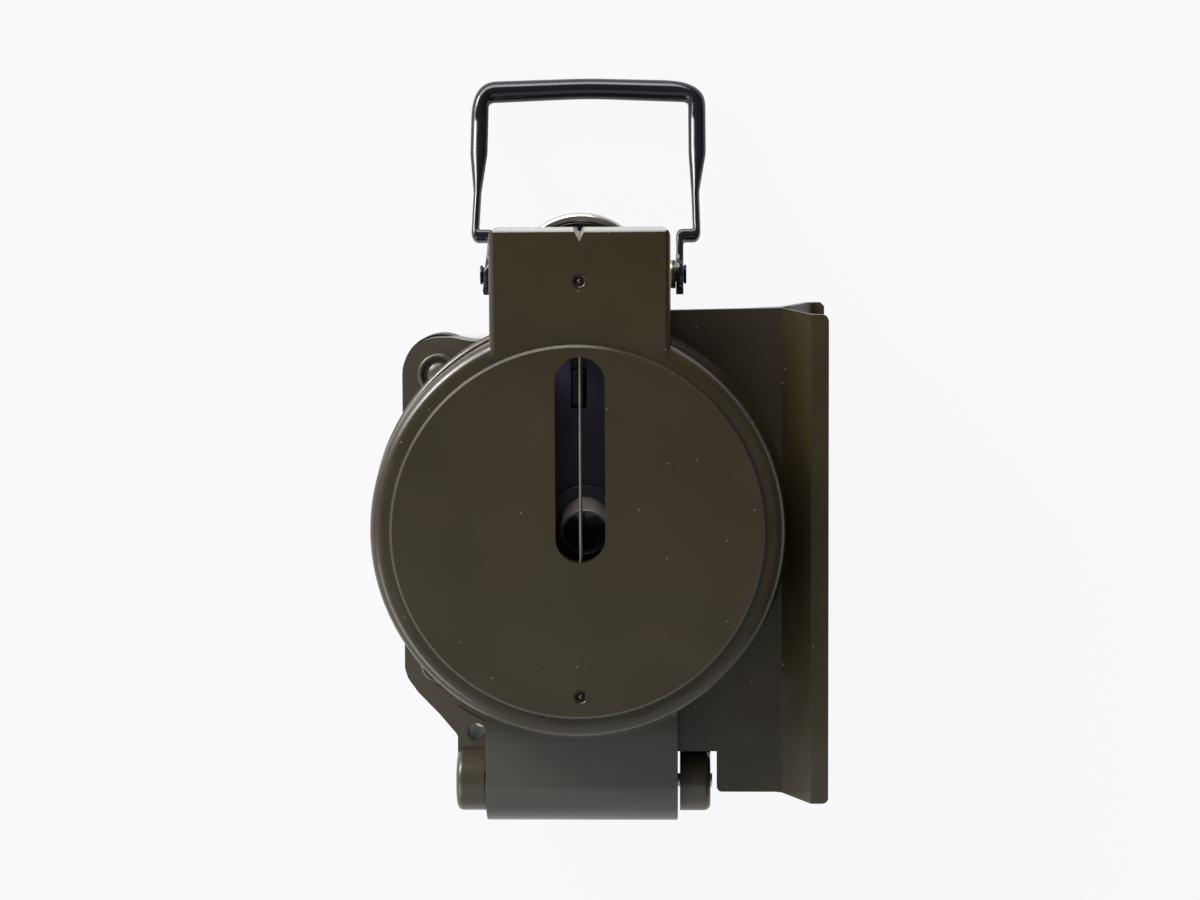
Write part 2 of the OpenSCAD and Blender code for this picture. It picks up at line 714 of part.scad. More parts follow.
module cover_shell() {
  color([0.23, 0.21, 0.17]) difference() {
    union() {
      translate([cup_shift, 0, cover_z]) rotate_extrude() intersection() {
        cup_section();
        square([60, 60]);
      }
      rear_tab();
      hinge_plate();
      cover_flange();
      cup_cove(hinge_z + barrel_r, cove_w, -barrel_half + hinge_shift, barrel_half + hinge_shift, -30, -20);
      cup_cove(cover_z + flange_t, bead_out, tab_w / 2, bevel_x + 2, -30, flange_rear);
    }
    // Inside of the cup
    translate([cup_shift, 0, cover_z - 1]) cylinder(h = roof_z - cover_z + 1, r = cup_r);
    // Opening in the rear wall for the eyepiece
    translate([-ear_out - 0.5, 0, cover_z - 1]) cube([2 * ear_out + 1, tab_y + 2, tab_z - cover_z + 1]);
    // Sighting slot
    translate([0, 0, roof_z - 1]) linear_extrude(face_z - roof_z + 2) slot_plan(0);
    // Sighting notch
    translate([0, tab_y, shoulder_z]) rotate([notch_lean, 0, 0]) translate([0, 0, -7]) linear_extrude(9)
      polygon([[-notch_w, notch_d], [0, -notch_d], [notch_w, notch_d]]);
    // Dimples of the luminous dots
    translate([0, dot_rear, shoulder_z - 0.8]) cylinder(h = 2, d = dot_d);
    translate([0, -dot_front, face_z - 0.8]) cylinder(h = 2, d = dot_d);
    // Holes that hold the wire's ends
    translate([0, 0, wire_z]) rotate([90, 0, 0]) {
      translate([0, 0, slot_front - 0.5]) cylinder(h = wire_anchor + 0.5, d = wire_d + 0.04);
      translate([0, 0, -slot_rear - wire_anchor]) cylinder(h = wire_anchor + 0.5, d = wire_d + 0.04);
    }
    // Bore of the hinge pin
    translate([hinge_shift, -hinge_y, hinge_z]) x_rod(-barrel_half - 1, barrel_half + 1, pin_d / 2 + pin_fit);
  }
}

module sighting_wire() {
  color([0.8, 0.8, 0.76]) translate([0, 0, wire_z]) rotate([90, 0, 0])
    translate([0, 0, -slot_rear - wire_anchor + 0.1])
      cylinder(h = slot_rear + slot_front + 2 * wire_anchor - 0.2, d = wire_d);
}

module luminous_dots() {
  color([0.72, 0.78, 0.6]) {
    translate([0, dot_rear, shoulder_z - 0.8]) cylinder(h = 0.3, d = dot_d - 0.06);
    translate([0, -dot_front, face_z - 0.8]) cylinder(h = 0.3, d = dot_d - 0.06);
  }
}

module hinge_pin() {
  color([0.75, 0.75, 0.75]) translate([0, -hinge_y, hinge_z])
    x_rod(-knuckle_out, knuckle_out + 0.1, pin_d / 2);
}

// Eyepiece

// Place of the small barrel: its foot on the plate, leaning forward
module at_small_barrel() {
  translate([barrel_shift, eyelet_y, ring_z + 0.9]) rotate([barrel_lean, 0, 0]) children();
}

module bracket_plan() {
  translate([0, ring_y]) circle(ring_r - 0.4);
  translate([-bracket_half, eyelet_y]) square([2 * bracket_half, ring_y - eyelet_y]);
  translate([0, eyelet_y]) circle(bracket_half);
  translate([-ear_out + 0.1, rear_pin_y - bracket_ear_r])
    square([2 * ear_out - 0.2, 2 * bracket_ear_r - 0.1]);
}

module sight_bracket() {
  color([0.05, 0.05, 0.07]) difference() {
    union() {
      translate([0, 0, plate_z]) linear_extrude(bracket_t) bracket_plan();
      for (s = [0, 1]) mirror([s, 0, 0]) x_extrude(ear_in, ear_out) {
        translate([rear_pin_y, rear_pin_z]) circle(bracket_ear_r);
        translate([rear_pin_y - bracket_ear_r, rear_pin_z]) square([2 * bracket_ear_r, ring_z - rear_pin_z]);
      }
    }
    translate([0, rear_pin_y, rear_pin_z]) x_rod(-lug_in, lug_in, rear_pin_d / 2 + pin_fit);
    translate([0, ring_y, plate_z - 1]) cylinder(h = bracket_t + 2, r = ring_in - 1.2);
    translate([slit_shift - slit_w / 2, slit_front, plate_z - 1]) cube([slit_w, slit_len, bracket_t + 2]);
    translate([barrel_shift, eyelet_y, plate_z - 1])
      cylinder(h = bracket_t + 2, r = barrel_out - barrel_wall - 0.4);
  }
}

module magnifier_ring() {
  color([0.78, 0.76, 0.72]) translate([0, ring_y, ring_z]) rotate_extrude() polygon([
    [ring_in - 0.8, 0], [ring_r - 0.4, 0], [ring_r, 0.4], [ring_r, ring_h - 0.4],
    [ring_r - 0.4, ring_h], [ring_in + 0.3, ring_h], [ring_in, ring_h - 0.3],
    [ring_in, 0.8], [ring_in - 0.8, 0.8]
  ]);
}

module magnifier_lens() {
  lens_ball = 30;
  sag = lens_ball - sqrt(lens_ball * lens_ball - ring_in * ring_in);
  color([0.8, 0.9, 0.95, 0.35]) translate([0, ring_y, ring_z + 0.85]) rotate_extrude() intersection() {
    square([ring_in - 0.04, 1 + sag]);
    translate([0, 1 + sag - lens_ball]) circle(lens_ball, $fn = 360);
  }
}

module sight_barrel() {
  tube_h = 3.8;
  color([0.72, 0.7, 0.67]) difference() {
    union() {
      translate([barrel_shift, eyelet_y, ring_z]) cylinder(h = 0.8, r = eyelet_r);
      intersection() {
        at_small_barrel() translate([0, 0, -3]) cylinder(h = 3 + tube_h, r = barrel_out);
        translate([-10, -10, ring_z]) cube(20);
      }
    }
    at_small_barrel() translate([0, 0, 0.2]) cylinder(h = 10, r = barrel_out - barrel_wall);
    at_small_barrel() translate([0, 0, -9]) cylinder(h = 20, r = barrel_out - barrel_wall - 0.6);
  }
}

module sight_lens() {
  color([0.3, 0.32, 0.4, 0.6]) at_small_barrel()
    translate([0, 0, 0.22]) cylinder(h = 1.1, r = barrel_out - barrel_wall - 0.03);
}

module rear_pin() {
  color([0.1, 0.1, 0.1]) translate([0, rear_pin_y, rear_pin_z]) {
    x_rod(-foot_out - 0.1, foot_out + 0.1, rear_pin_d / 2);
    for (s = [0, 1]) mirror([s, 0, 0]) x_rod(foot_out + 0.05, foot_out + 0.05 + head_h, head_r);
  }
}

module loop_washers() {
  color([0.78, 0.62, 0.3]) for (s = [0, 1]) mirror([s, 0, 0])
  translate([0, rear_pin_y, rear_pin_z]) difference() {
    x_rod(lug_out, lug_out + washer_t, washer_r);
    x_rod(lug_out - 1, lug_out + washer_t + 1, rear_pin_d / 2 + 0.03);
  }
}

// Thumb loop, drawn level with its pivot at the origin

// Plan of the right-hand arm with its foot, from the heel to the far part
module loop_arm_plan(set) {
  jog_in = rear_jog - 0.8;
  jog_out = rear_jog + 0.8;
  rod_in = arm_half + set;
  rod_out = rod_in + arm_w;
  edge = rod_out + bar_flare;
  polygon([
    [foot_in, -2.4], [foot_in + 0.4, -3.3], [foot_out, -3.3], [foot_out, jog_in],
    [rod_out - 0.5, jog_in], [rod_out, jog_in + 0.5],
    [rod_out - 0.1, 11.9], [rod_out + 0.3, 14.5], [edge, 18],
    [edge, 19], [edge - arm_wide, 19],
    [edge - arm_wide + 0.1, 18], [rod_in - 0.5, 14.5], [rod_in - 0.4, 11.9], [rod_in, jog_out + 0.5],
    [rod_in - 0.4, jog_out], [foot_in + 0.4, jog_out], [foot_in, jog_out - 0.5]
  ]);
}

// Plan of the loop's end: straight sides, round corners and a bowed far side
module loop_end_plan(half, bow_r, corner, centre_y, from) {
  corner_y = centre_y + sqrt((bow_r - corner) * (bow_r - corner) - (half - corner) * (half - corner));
  touch = (half - corner) * bow_r / (bow_r - corner);
  translate([-half, from]) square([2 * half, corner_y - from]);
  for (x = [corner - half, half - corner]) translate([x, corner_y]) circle(corner);
  intersection() {
    translate([0, centre_y]) circle(bow_r, $fn = 360);
    translate([-touch, from + 1]) square([2 * touch, 20]);
  }
}

// Far part of the loop: both wide arms and the bar in one rounded frame
module loop_end() {
  half = arm_half + arm_w + bar_flare - 0.02;
  bow_r = (half * half + bar_bow * bar_bow) / (2 * bar_bow);
  centre_y = loop_len + bar_w / 2 - bow_r;
  difference() {
    linear_extrude(6) loop_end_plan(half, bow_r, loop_corner, centre_y, 18.5);
    translate([0, 0, -1]) linear_extrude(8)
      loop_end_plan(half - arm_wide, bow_r - bar_w, loop_corner - 1.6, centre_y, 15);
  }
}

module thumb_loop() {
  round = 1.1;
  end = loop_len + bar_w / 2;
  half_t = strip_depth / 2;
  color([0.04, 0.04, 0.04]) translate([0, rear_pin_y, rear_pin_z]) rotate([-loop_drop, 0, 0]) difference() {
    intersection() {
      union() {
        translate([loop_set, 0, -3]) loop_end();
        translate([0, 0, -3]) linear_extrude(6) loop_arm_plan(loop_set);
        mirror([1, 0, 0]) translate([0, 0, -3]) linear_extrude(6) loop_arm_plan(-loop_set);
      }
      x_extrude(-20, 20) {
        circle(2.1);
        translate([-3.7, -1.1]) square([3.7, 2.2]);
        translate([0, -half_t]) square([end - round, strip_depth]);
        translate([0, -half_t + round]) square([end, strip_depth - 2 * round]);
        for (s = [-1, 1]) translate([end - round, s * (half_t - round)]) circle(round);
      }
    }
    x_rod(-foot_out - 2, foot_out + 2, rear_pin_d / 2 + pin_fit);
  }
}

base_body();
bottom_cover();
bottom_screws();
capsule_cup();
capsule_window();
capsule_seal();
pivot_post();
compass_card();
card_magnet();
card_jewel();
bezel_ring();
bezel_crystal();
marching_line();
bezel_snap_ring();
click_spring();
index_mark();
cover_shell();
sighting_wire();
luminous_dots();
hinge_pin();
sight_bracket();
magnifier_ring();
magnifier_lens();
sight_barrel();
sight_lens();
rear_pin();
loop_washers();
thumb_loop();
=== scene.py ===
import math

import bmesh
import bpy
from mathutils import Matrix, Vector


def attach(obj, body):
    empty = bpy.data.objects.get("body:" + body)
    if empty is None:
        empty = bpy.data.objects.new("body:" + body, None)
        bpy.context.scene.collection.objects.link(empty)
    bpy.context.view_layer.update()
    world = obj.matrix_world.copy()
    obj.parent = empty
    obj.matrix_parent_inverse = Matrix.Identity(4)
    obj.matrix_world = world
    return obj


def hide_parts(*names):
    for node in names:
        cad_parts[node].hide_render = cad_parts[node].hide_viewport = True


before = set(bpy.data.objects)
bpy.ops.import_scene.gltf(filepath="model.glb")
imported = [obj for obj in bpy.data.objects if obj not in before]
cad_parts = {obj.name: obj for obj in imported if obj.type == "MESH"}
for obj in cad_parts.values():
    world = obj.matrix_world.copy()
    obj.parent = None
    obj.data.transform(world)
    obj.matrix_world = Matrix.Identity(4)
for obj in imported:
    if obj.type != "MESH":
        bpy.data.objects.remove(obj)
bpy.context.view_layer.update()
MM = 0.001


# Camera
# It looks almost straight down from a little behind the dial axis, with the
# ruler flanges to the right and the thumb loop at the top.

EYE = Vector((14.4, 43.29, 428.0)) * MM
TARGET = Vector((2.2, 9.7, 14.0)) * MM
ROLL = math.radians(-0.24)
LENS, SENSOR, NEAREST = 92.82, 36, 0.01

forward = (TARGET - EYE).normalized()
right = forward.cross(Vector((0, 1, 0))).normalized()
turn = Matrix((right, right.cross(forward), -forward)).transposed().to_4x4()
camera_data = bpy.data.cameras.new("camera")
camera_data.lens = LENS
camera_data.sensor_width = SENSOR
camera_data.clip_start = NEAREST
camera = bpy.data.objects.new("camera", camera_data)
bpy.context.scene.collection.objects.link(camera)
camera.matrix_world = Matrix.Translation(EYE) @ turn @ Matrix.Rotation(ROLL, 4, "Z")
bpy.context.scene.camera = camera
bpy.context.scene.view_settings.view_transform = "Standard"


# Light and table
# A wide low soft box stands behind and to the left with a small one beside it,
# a third at the left, and the table is a pale sheet in a half-lit room.

def soft_box(name, place, width, height, watts):
    """Soft box that faces the dial, with its sizes in metres."""
    data = bpy.data.lights.new(name, "AREA")
    data.shape = "RECTANGLE"
    data.size = width
    data.size_y = height
    data.energy = watts
    lamp = bpy.data.objects.new(name, data)
    bpy.context.scene.collection.objects.link(lamp)
    lamp.location = place
    lamp.rotation_euler = (-Vector(place)).to_track_quat("-Z", "Y").to_euler()


soft_box("rear_box", (-0.58, 0.96, 0.42), 1.7, 0.62, 24.5)
soft_box("rim_box", (-0.83, 0.75, 0.42), 0.3, 0.26, 7.5)
soft_box("left_box", (-0.88, -0.62, 0.60), 0.8, 0.5, 5)


def maths(tree, operation, *values):
    """Result of one sum on sockets and numbers."""
    node = tree.nodes.new("ShaderNodeMath")
    node.operation = operation
    for value, socket in zip(values, node.inputs):
        if isinstance(value, (int, float)):
            socket.default_value = value
        else:
            tree.links.new(value, socket)
    return node.outputs[0]


def graded(tree, at, start, stop, low=0.0, high=1.0, blend="LINEAR"):
    """Value that goes from low to high while a socket goes from start to stop."""
    node = tree.nodes.new("ShaderNodeMapRange")
    node.interpolation_type = blend
    node.inputs["From Min"].default_value = start
    node.inputs["From Max"].default_value = stop
    node.inputs["To Min"].default_value = low
    node.inputs["To Max"].default_value = high
    tree.links.new(at, node.inputs["Value"])
    return node.outputs[0]


def place_on(tree):
    """The X, Y and Z of a point on the piece."""
    split = tree.nodes.new("ShaderNodeSeparateXYZ")
    tree.links.new(tree.nodes.new("ShaderNodeTexCoord").outputs["Object"], split.inputs[0])
    return split.outputs


PAPER = (0.950, 0.950, 0.966, 1)


def shown_as_paper(tree, share, lit, glow, out):
    """A share of the lit surface shows as even paper white."""
    glow.inputs["Color"].default_value = PAPER
    blend = tree.nodes.new("ShaderNodeMixShader")
    tree.links.new(share, blend.inputs[0])
    tree.links.new(lit.outputs[0], blend.inputs[1])
    tree.links.new(glow.outputs[0], blend.inputs[2])
    tree.links.new(blend.outputs[0], out.inputs["Surface"])


WALL_WHITE = (0.94, 0.96, 1.0, 1)
LIT_SIDE = (-0.5, -0.866, 0)            # way from the dial to the middle of the lit walls
LIT_FROM, LIT_FULL = 0.155, 0.185       # how far towards it the light begins and is full
DIM_WALL, LIT_WALL = 0.08, 0.74

room = bpy.data.worlds.new("room")
bpy.context.scene.world = room
room.use_nodes = True
tree = room.node_tree
wall = tree.nodes["Background"]
wall.inputs["Color"].default_value = WALL_WHITE
toward = tree.nodes.new("ShaderNodeTexCoord")
front = tree.nodes.new("ShaderNodeVectorMath")
front.operation = "DOT_PRODUCT"
front.inputs[1].default_value = LIT_SIDE
tree.links.new(toward.outputs["Generated"], front.inputs[0])
strength = graded(tree, front.outputs["Value"], LIT_FROM, LIT_FULL, DIM_WALL, LIT_WALL)
tree.links.new(strength, wall.inputs["Strength"])
rays = tree.nodes.new("ShaderNodeLightPath")
shown_as_paper(tree, rays.outputs["Is Camera Ray"], wall,
               tree.nodes.new("ShaderNodeBackground"), tree.nodes["World Output"])

TABLE_HALF = 3
SHEET_WHITE = (0.90, 0.90, 0.91, 1)
SHEET_ROUGHNESS = 0.9
SHEET_SHOWN, SHEET_MIRRORED = 0.97, 0.55

# The sheet lies dark under the closed case: axis, edge and inner end of the
# fading, in mm, for each of its four sides.
CASE_SHADE = (("X", -17.5, -17.0), ("X", 12.5, 11.5), ("Y", -32.8, -32.3), ("Y", 25, 23))

table_mesh = bpy.data.meshes.new("table")
table_mesh.from_pydata([(-TABLE_HALF, -TABLE_HALF, 0), (TABLE_HALF, -TABLE_HALF, 0),
                        (TABLE_HALF, TABLE_HALF, 0), (-TABLE_HALF, TABLE_HALF, 0)], [], [(0, 1, 2, 3)])
table = bpy.data.objects.new("table", table_mesh)
bpy.context.scene.collection.objects.link(table)
sheet = bpy.data.materials.new("pale_sheet")
sheet.use_nodes = True
tree = sheet.node_tree
matt = tree.nodes["Principled BSDF"]
matt.inputs["Base Color"].default_value = SHEET_WHITE
matt.inputs["Roughness"].default_value = SHEET_ROUGHNESS
spot = place_on(tree)
under = None
for axis, edge, inner in CASE_SHADE:
    within = graded(tree, spot[axis], edge * MM, inner * MM)
    under = maths(tree, "MULTIPLY", under, within) if under else within
open_air = graded(tree, under, 0, 1, SHEET_SHOWN, 0)
rays = tree.nodes.new("ShaderNodeLightPath")
mirrored = maths(tree, "MULTIPLY", rays.outputs["Is Glossy Ray"], SHEET_MIRRORED)
seen = maths(tree, "MAXIMUM", rays.outputs["Is Camera Ray"], mirrored)
shown_as_paper(tree, maths(tree, "MULTIPLY", seen, open_air), matt,
               tree.nodes.new("ShaderNodeEmission"), tree.nodes["Material Output"])
table_mesh.materials.append(sheet)


# Base casting
# A light-alloy casting with four ears, hinge arms, rear lugs and the lower
# ruler flange, deburred and sprayed with satin olive enamel.

def clouds(tree, place, waves, detail):
    """Soft noise over the piece, with its waves to the metre."""
    noise = tree.nodes.new("ShaderNodeTexNoise")
    noise.inputs["Scale"].default_value = waves
    noise.inputs["Detail"].default_value = detail
    tree.links.new(place, noise.inputs["Vector"])
    return noise.outputs["Fac"]


def two_tints(tree, at, colour, swing):
    """The colour, darker and lighter by a share of itself."""
    tint = tree.nodes.new("ShaderNodeValToRGB")
    for end, share in zip(tint.color_ramp.elements, (1 - swing, 1 + swing)):
        end.color = (*[c * share for c in colour], 1)
    tree.links.new(at, tint.inputs[0])
    return tint.outputs[0]


def coated(tree, under, colour, share):
    """One colour over another, by a share."""
    coat = tree.nodes.new("ShaderNodeMix")
    coat.data_type = "RGBA"
    coat.inputs[7].default_value = (*colour, 1)
    tree.links.new(share, coat.inputs[0])
    tree.links.new(under, coat.inputs[6])
    return coat.outputs[2]


def raised(tree, height, strength, depth):
    """Fine relief, with its depth in metres."""
    bump = tree.nodes.new("ShaderNodeBump")
    bump.inputs["Strength"].default_value = strength
    bump.inputs["Distance"].default_value = depth
    tree.links.new(height, bump.inputs["Height"])
    return bump.outputs["Normal"]


DRIFT, ORANGE_PEEL = (75, 5), (1500, 3)         # waves to the metre, detail
TINT_DRIFT, GLOSS_DRIFT = 0.25, 0.05
PEEL_DEPTH = 0.00004
DUST_CELLS, GRAIN = 260, 0.026
DUST = (0.16, 0.15, 0.13)


def enamel(name, colour, roughness, ior, peel, dust):
    """Sprayed enamel: slow drift of the tint, orange peel, and a few pale grains of dust."""
    paint = bpy.data.materials.new(name)
    paint.use_nodes = True
    tree = paint.node_tree
    link = tree.links.new
    shader = tree.nodes["Principled BSDF"]
    shader.inputs["IOR"].default_value = ior
    place = tree.nodes.new("ShaderNodeTexCoord").outputs["Object"]
    drift = clouds(tree, place, *DRIFT)
    cells = tree.nodes.new("ShaderNodeTexVoronoi")
    cells.voronoi_dimensions = "2D"
    cells.inputs["Scale"].default_value = DUST_CELLS
    link(place, cells.inputs["Vector"])
    lot = tree.nodes.new("ShaderNodeSeparateColor")
    link(cells.outputs["Color"], lot.inputs[0])
    few = maths(tree, "GREATER_THAN", lot.outputs[0], 1 - dust)
    small = maths(tree, "LESS_THAN", cells.outputs["Distance"], GRAIN)
    tint = coated(tree, two_tints(tree, drift, colour, TINT_DRIFT), DUST,
                  maths(tree, "MULTIPLY", few, small))
    link(tint, shader.inputs["Base Color"])
    link(graded(tree, drift, 0, 1, roughness - GLOSS_DRIFT, roughness + GLOSS_DRIFT),
         shader.inputs["Roughness"])
    link(raised(tree, clouds(tree, place, *ORANGE_PEEL), peel, PEEL_DEPTH), shader.inputs["Normal"])
    return paint


def paint_node(node, material):
    """Give the plain solid its material."""
    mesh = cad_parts[node].data
    mesh.materials.clear()
    mesh.materials.append(material)


SAME_POINT = 2e-6                       # metres
SAME_PLANE = math.radians(1.0)
UPRIGHT, AT_CORNER = 0.0011, 0.00025    # metres: least height of an upright edge, farthest from its corner
CORNER_STEPS, EDGE_STEPS = 5, 3
SHARP = math.radians(28)
FLATTER = 80


def softened(node, body, width, corners=(), other=(), pick=None):
    """Copy of a solid with small rounded edges and flats that look flat.

    corners are (x, y, radius) in mm of upright edges that get a larger round;
    pick tells from a face's centre and normal which of the other materials it has."""
    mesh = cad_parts[node].data.copy()
    grid = bmesh.new()
    grid.from_mesh(mesh)
    bmesh.ops.remove_doubles(grid, verts=grid.verts, dist=SAME_POINT)
    bmesh.ops.dissolve_limit(grid, angle_limit=SAME_PLANE, verts=grid.verts, edges=grid.edges)
    for x, y, radius in corners:
        corner = Vector((x, y)) * MM
        upright = [e for e in grid.edges if abs(e.verts[0].co.z - e.verts[1].co.z) > UPRIGHT
                   and all((v.co.xy - corner).length < AT_CORNER for v in e.verts)]
        bmesh.ops.bevel(grid, geom=upright, offset=radius * MM, segments=CORNER_STEPS,
                        profile=0.5, affect="EDGES")
    for material in other:
        mesh.materials.append(material)
    for face in grid.faces:
        face.smooth = True
        if pick:
            face.material_index = pick(face.calc_center_median() / MM, face.normal)
    grid.to_mesh(mesh)
    grid.free()
    piece = bpy.data.objects.new(node + "_soft", mesh)
    bpy.context.scene.collection.objects.link(piece)
    edges = piece.modifiers.new("edges", "BEVEL")
    edges.width = width * MM
    edges.segments = EDGE_STEPS
    edges.limit_method = "ANGLE"
    edges.angle_limit = SHARP
    edges.use_clamp_overlap = True
    flats = piece.modifiers.new("flats", "WEIGHTED_NORMAL")
    flats.mode = "FACE_AREA"
    flats.weight = FLATTER
    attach(piece, body)
    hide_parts(node)


OLIVE = enamel("olive_enamel", (0.0325, 0.0245, 0.0108), 0.26, 1.54, 0.22, 0.16)
# The base's enamel is the lid's olive painted lighter, standing in for the light and sheen its lower parts
# catch.
BASE_OLIVE_PAINTED_LIGHT = enamel("base_enamel_painted_light", (0.0530, 0.0435, 0.0270), 0.30, 1.54, 0.22, 0.16)
FLANGE_CORNER = (19.7, -33.0, 0.6)
paint_node("base_body", BASE_OLIVE_PAINTED_LIGHT)
softened("base_body", "base", 0.25, corners=[FLANGE_CORNER])


# Bottom cover and its screws
# A black moulded pan whose four posts reach up into the ears, held by four
# plain steel countersunk screws.

CLOUD, SPARK = (160, 4), (4200, 2)              # waves to the metre, detail
TINT_CLOUD, GLOSS_CLOUD = 0.2, 0.07
SPARK_DEPTH = 0.00003


def moulding(name, colour, roughness, grain):
    """Moulded plastic: faint tint and gloss changes and a fine sparked grain."""
    plastic = bpy.data.materials.new(name)
    plastic.use_nodes = True
    tree = plastic.node_tree
    link = tree.links.new
    shader = tree.nodes["Principled BSDF"]
    place = tree.nodes.new("ShaderNodeTexCoord").outputs["Object"]
    cloud = clouds(tree, place, *CLOUD)
    link(two_tints(tree, cloud, colour, TINT_CLOUD), shader.inputs["Base Color"])
    link(graded(tree, cloud, 0, 1, roughness - GLOSS_CLOUD, roughness + GLOSS_CLOUD),
         shader.inputs["Roughness"])
    link(raised(tree, clouds(tree, place, *SPARK), grain, SPARK_DEPTH), shader.inputs["Normal"])
    return plastic


def bright_metal(name, colour, roughness, scratch):
    """Plated or drawn metal: smudges in the gloss and fine scratches."""
    metal = moulding(name, colour, roughness, scratch)
    metal.node_tree.nodes["Principled BSDF"].inputs["Metallic"].default_value = 1.0
    return metal


BLACK_PAN = moulding("black_pan", (0.010, 0.010, 0.012), 0.45, 0.5)
STEEL = bright_metal("plain_steel", (0.58, 0.58, 0.57), 0.26, 0.12)
paint_node("bottom_cover", BLACK_PAN)
softened("bottom_cover", "base", 0.35)
paint_node("bottom_screws", STEEL)


# Capsule
# A black cup with a sealed glass window, a hardened pivot and the magnet under
# a matt black card that carries pale printed divisions.

def clear_glass(name, tint, roughness):
    """Polished glass with a faint tint."""
    glass = moulding(name, tint, roughness, 0.0)
    shader = glass.node_tree.nodes["Principled BSDF"]
    shader.inputs["Transmission Weight"].default_value = 1.0
    shader.inputs["IOR"].default_value = 1.45
    return glass


RUBBER = moulding("seal_rubber", (0.02, 0.02, 0.02), 0.6, 0.3)
CLEAR = clear_glass("clear_glass", (0.80, 0.82, 0.82), 0.03)
BRASS = bright_metal("plain_brass", (0.66, 0.44, 0.14), 0.30, 0.15)
MAGNET = bright_metal("magnet_steel", (0.20, 0.20, 0.22), 0.40, 0.2)
CARD_BLACK = moulding("card_black", (0.012, 0.012, 0.014), 0.6, 0.2)
INK = moulding("pale_ink", (0.62, 0.66, 0.56), 0.6, 0.2)
paint_node("capsule_cup", BLACK_PAN)
paint_node("capsule_window", CLEAR)
paint_node("capsule_seal", RUBBER)
paint_node("pivot_post", STEEL)
paint_node("compass_card", CARD_BLACK)
paint_node("card_magnet", MAGNET)
paint_node("card_jewel", BRASS)


def ring_tree(material):
    """Equal thin raised marks around a dial, and what sets their number and sizes."""
    tree = bpy.data.node_groups.new("ring_of_marks", "GeometryNodeTree")
    new_socket = tree.interface.new_socket
    new_socket("Geometry", in_out="INPUT", socket_type="NodeSocketGeometry")
    inputs = {name: new_socket(name, in_out="INPUT", socket_type="NodeSocket" + kind).identifier
              for name, kind in (("Marks", "Int"), ("Radius", "Float"), ("Size", "Vector"),
                                 ("Height", "Float"))}
    new_socket("Geometry", in_out="OUTPUT", socket_type="NodeSocketGeometry")
    node, link = tree.nodes.new, tree.links.new
    start, stop = node("NodeGroupInput"), node("NodeGroupOutput")
    points = node("GeometryNodeMeshCircle")
    mark = node("GeometryNodeMeshCube")
    angles = node("ShaderNodeCombineXYZ")
    spread = node("GeometryNodeInstanceOnPoints")
    rise = node("ShaderNodeCombineXYZ")
    lift = node("GeometryNodeTransform")
    real = node("GeometryNodeRealizeInstances")
    ink = node("GeometryNodeSetMaterial")
    ink.inputs["Material"].default_value = material
    step = maths(tree, "DIVIDE", 2 * math.pi, start.outputs["Marks"])
    turned = maths(tree, "MULTIPLY", node("GeometryNodeInputIndex").outputs[0], step)
    link(start.outputs["Marks"], points.inputs["Vertices"])
    link(start.outputs["Radius"], points.inputs["Radius"])
    link(start.outputs["Size"], mark.inputs["Size"])
    link(start.outputs["Height"], rise.inputs["Z"])
    link(turned, angles.inputs["Z"])
    link(points.outputs[0], spread.inputs["Points"])
    link(mark.outputs["Mesh"], spread.inputs["Instance"])
    link(angles.outputs[0], spread.inputs["Rotation"])
    link(rise.outputs[0], lift.inputs["Translation"])
    for one, two in ((spread, lift), (lift, real), (real, ink), (ink, stop)):
        link(one.outputs[0], two.inputs[0])
    return tree, inputs


RING_TREE, RING_INPUTS = ring_tree(INK)


def carried(name, mesh, body):
    """The finished mesh as a piece that moves with a body."""
    piece = bpy.data.objects.new(name, mesh)
    bpy.context.scene.collection.objects.link(piece)
    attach(piece, body)
    return piece


def plain_mesh(maker):
    """What the maker makes, as a mesh of its own."""
    bpy.context.scene.collection.objects.link(maker)
    made = maker.evaluated_get(bpy.context.evaluated_depsgraph_get())
    mesh = bpy.data.meshes.new_from_object(made)
    bpy.data.objects.remove(maker)
    return mesh


def ring_of_marks(name, count, radius, size, height):
    """One printed ring of the card, with its sizes in mm."""
    maker = bpy.data.objects.new(name + "_maker", bpy.data.meshes.new(name + "_maker"))
    marks = maker.modifiers.new("marks", "NODES")
    marks.node_group = RING_TREE
    marks[RING_INPUTS["Marks"]] = count
    marks[RING_INPUTS["Radius"]] = radius * MM
    marks[RING_INPUTS["Size"]] = [c * MM for c in size]
    marks[RING_INPUTS["Height"]] = height * MM
    carried(name, plain_mesh(maker), "card")


WORD_HALF, WORD_CURVES = 0.00001, 3             # metres of ink each way, steps to a curve


def printed_word(name, word, size, place, heading):
    """One printed sign, standing radially on the card."""
    curve = bpy.data.curves.new(name, "FONT")
    curve.body = word
    curve.size = size * MM
    curve.align_x = "CENTER"
    curve.align_y = "CENTER"
    curve.extrude = WORD_HALF
    curve.resolution_u = WORD_CURVES
    mesh = plain_mesh(bpy.data.objects.new(name, curve))
    mesh.transform(Matrix.Rotation(-heading, 4, "Z") @ Matrix.Translation(Vector(place) * MM))
    mesh.materials.clear()
    mesh.materials.append(INK)
    carried(name, mesh, "card")


ON_CARD, OVER_FINE = 12.012, 12.013
QUARTERS = {0: "N", 3: "E", 6: "S", 9: "W"}
ring_of_marks("fine_divisions", 72, 17.6, (1.1, 0.14, 0.03), ON_CARD)
ring_of_marks("long_divisions", 24, 17.2, (1.9, 0.28, 0.03), OVER_FINE)
ring_of_marks("inner_divisions", 64, 11.4, (0.8, 0.12, 0.03), ON_CARD)
for k in range(12):
    printed_word(f"number_{k}", QUARTERS.get(k, str(3 * k)), 3.2 if k in QUARTERS else 2.2,
                 (0, 14.2, ON_CARD), math.radians(30 * k))


# Bezel
# A black moulded ring with scalloped grips, a glass crystal with a luminous
# line under it, a spring-wire snap ring and a brass click spring.

